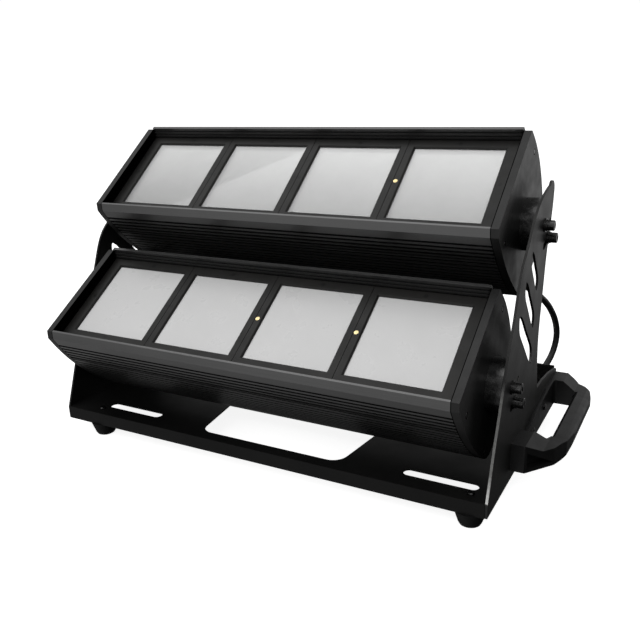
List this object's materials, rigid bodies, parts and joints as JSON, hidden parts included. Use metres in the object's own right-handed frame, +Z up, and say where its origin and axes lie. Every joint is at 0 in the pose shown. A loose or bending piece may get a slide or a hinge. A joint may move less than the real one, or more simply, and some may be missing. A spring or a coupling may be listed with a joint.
{
  "type": "led cyclorama light",
  "caption": "Two tilting rows of square LED light cells in ribbed housings, held between side plates on a slotted base with side handles.",
  "frame": {"origin": "on the floor under the middle of the light, without its cable", "axes": "+X along the heads to the right seen from the front, +Y to the rear, +Z up"},
  "size_m": [0.7558, 0.4711, 0.4296],
  "materials": {
    "painted_sheet": "fine satin powder coat, dark grey",
    "black_aluminium": "satin black anodised extrusion",
    "bezel_aluminium": "satin dark grey paint",
    "bare_aluminium": "bare mill aluminium",
    "reflector_sheet": "bright semi-specular aluminium sheet",
    "led_board": "white board with a yellow phosphor disc",
    "clear_glass": "clear glass",
    "rubber": "matt black rubber",
    "handle_plastic": "fine-grained dark plastic",
    "light_plastic": "pale terminal plastic",
    "socket_plastic": "black moulded plastic",
    "socket_metal": "black plated metal",
    "gland_plastic": "black nylon",
    "cable_rubber": "round black rubber cable",
    "zinc_steel": "zinc-plated steel",
    "black_steel": "black oxide steel",
    "brass_screws": "yellow-passivated countersunk screws",
    "gloss_black": "glossy black turned aluminium"
  },
  "bodies": {
    "base": {"base_pan": "painted_sheet", "data_sockets": "socket_metal", "foot_screws": "zinc_steel", "handle_nuts": "zinc_steel", "handle_screws": "black_steel", "junction_box": "painted_sheet", "left_handle": "handle_plastic", "left_side_plate": "painted_sheet", "panel_glands": "gland_plastic", "panel_screws": "zinc_steel", "plate_screws": "zinc_steel", "power_sockets": "socket_plastic", "rear_panel": "painted_sheet", "right_handle": "handle_plastic", "right_side_plate": "painted_sheet", "rubber_feet": "rubber", "socket_screws": "zinc_steel", "terminal_block": "light_plastic", "upper_head_cable": "cable_rubber"},
    "upper_head": {"upper_bezel_screws": "brass_screws", "upper_cap_screws": "black_steel", "upper_driver": "bare_aluminium", "upper_heat_plate": "bare_aluminium", "upper_housing": "black_aluminium", "upper_hub_screws": "zinc_steel", "upper_hubs": "gloss_black", "upper_lead_gland": "gland_plastic", "upper_led_modules": "led_board", "upper_left_cap": "black_aluminium", "upper_lock_bolts": "black_steel", "upper_pane_gaskets": "rubber", "upper_pivot_bolts": "black_steel", "upper_reflectors": "reflector_sheet", "upper_right_cap": "black_aluminium", "upper_washers": "black_steel", "upper_window_bezels": "bezel_aluminium", "upper_window_carrier": "bezel_aluminium", "upper_window_panes": "clear_glass"},
    "lower_head": {"lower_bezel_screws": "brass_screws", "lower_cap_screws": "black_steel", "lower_driver": "bare_aluminium", "lower_heat_plate": "bare_aluminium", "lower_housing": "black_aluminium", "lower_hub_screws": "zinc_steel", "lower_hubs": "gloss_black", "lower_lead_gland": "gland_plastic", "lower_led_modules": "led_board", "lower_left_cap": "black_aluminium", "lower_lock_bolts": "black_steel", "lower_pane_gaskets": "rubber", "lower_pivot_bolts": "black_steel", "lower_reflectors": "reflector_sheet", "lower_right_cap": "black_aluminium", "lower_washers": "black_steel", "lower_window_bezels": "bezel_aluminium", "lower_window_carrier": "bezel_aluminium", "lower_window_panes": "clear_glass"}
  },
  "joints": [
    {"name": "upper_head_tilt", "type": "hinge", "parent": "base", "child": "upper_head", "pos_m": [0, 0.04465, 0.3133], "axis": [1, 0, 0], "range_deg": [-25, 15]},
    {"name": "lower_head_tilt", "type": "hinge", "parent": "base", "child": "lower_head", "pos_m": [0, -0.08025, 0.1469], "axis": [1, 0, 0], "range_deg": [-25, 55]}
  ]
}
